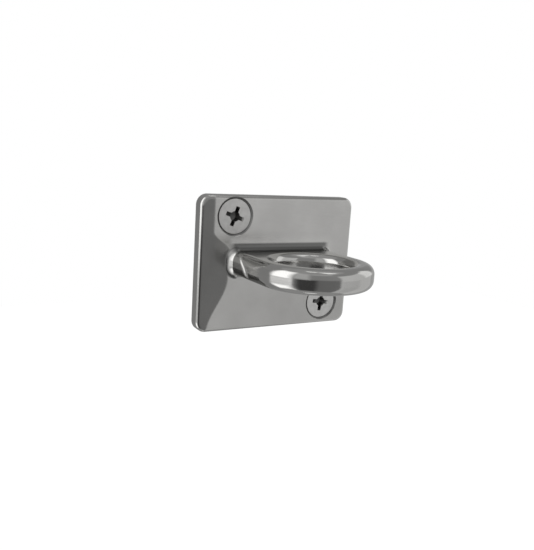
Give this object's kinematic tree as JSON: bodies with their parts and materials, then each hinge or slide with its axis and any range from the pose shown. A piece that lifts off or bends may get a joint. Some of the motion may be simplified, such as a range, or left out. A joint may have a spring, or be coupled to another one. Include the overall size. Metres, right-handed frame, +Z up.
{
  "type": "wall ring",
  "caption": "Cast rectangular wall plate with a horizontal ring standing out from its middle, held by countersunk cross-recess screws on a diagonal.",
  "frame": {"origin": "centre of the plate's flat back face, which lies on the wall", "axes": "+Y into the wall, the ring stands out along -Y, +Z up, +X to the right as seen from the front"},
  "size_m": [0.0494, 0.0534, 0.038],
  "materials": {
    "polished_steel": "polished stainless steel",
    "satin_steel": "satin stainless steel"
  },
  "bodies": {
    "root": {"wall_ring": "polished_steel", "upper_left_screw": "satin_steel", "lower_right_screw": "satin_steel"}
  },
  "joints": []
}
